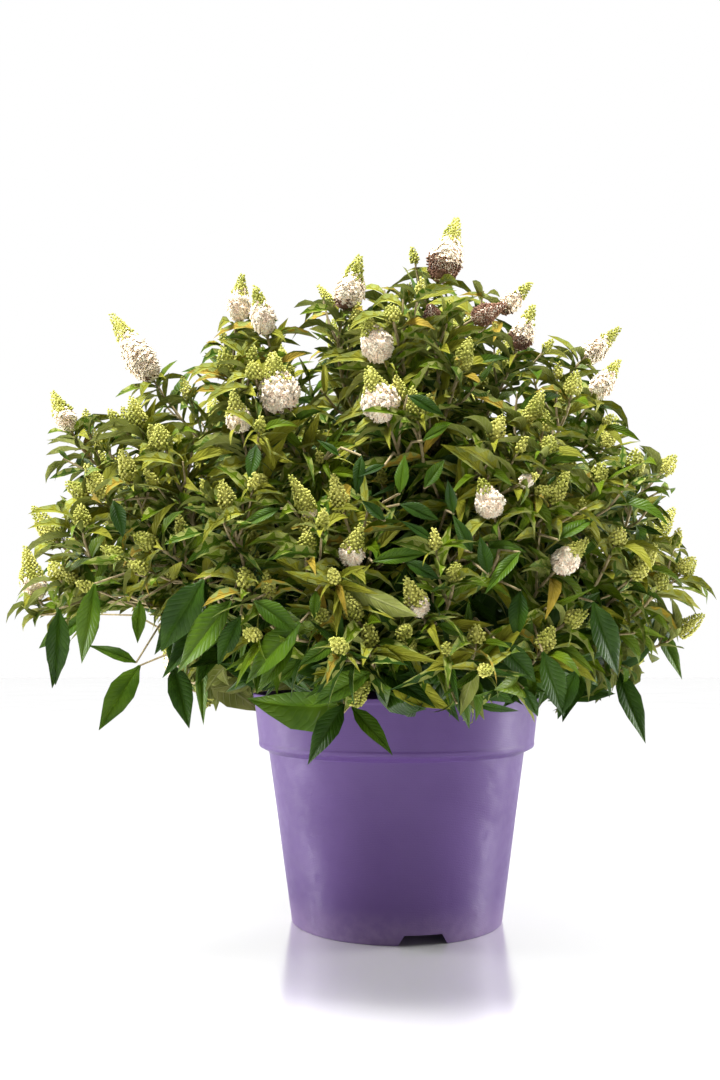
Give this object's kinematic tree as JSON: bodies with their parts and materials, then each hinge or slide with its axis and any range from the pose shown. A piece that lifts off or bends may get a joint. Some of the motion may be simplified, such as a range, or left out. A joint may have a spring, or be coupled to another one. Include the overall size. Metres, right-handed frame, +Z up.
{
  "type": "potted butterfly bush",
  "caption": "Compact dome of opposite lance-shaped leaves with short upright white flower panicles, growing on fine boughs in a round tapered nursery pot.",
  "frame": {"origin": "centre of the pot's flat underside, where the potted plant stands", "axes": "+Z up along the pot's axis; -Y is the front that the picture shows; +X is the picture's right"},
  "size_m": [0.5706, 0.5786, 0.53],
  "materials": {
    "pot_plastic": "satin moulded violet plastic",
    "potting_soil": "dark crumbly peat",
    "bark": "dull fibrous tan bark",
    "foliage": "dull leaf with a faint waxy sheen above",
    "blossom": "soft matt petals"
  },
  "bodies": {
    "root": {"pot": "pot_plastic", "soil": "potting_soil", "short_stem": "bark", "top_bough": "bark", "top_mass": "foliage", "upper_1_bough": "bark", "upper_1_mass": "foliage", "upper_2_bough": "bark", "upper_2_mass": "foliage", "upper_3_bough": "bark", "upper_3_mass": "foliage", "upper_4_bough": "bark", "upper_4_mass": "foliage", "upper_5_bough": "bark", "upper_5_mass": "foliage", "upper_6_bough": "bark", "upper_6_mass": "foliage", "lower_1_bough": "bark", "lower_1_mass": "foliage", "lower_2_bough": "bark", "lower_2_mass": "foliage", "lower_3_bough": "bark", "lower_3_mass": "foliage", "lower_4_bough": "bark", "lower_4_mass": "foliage", "lower_5_bough": "bark", "lower_5_mass": "foliage", "lower_6_bough": "bark", "lower_6_mass": "foliage", "lower_7_bough": "bark", "lower_7_mass": "foliage", "lower_8_bough": "bark", "lower_8_mass": "foliage"}
  },
  "joints": []
}
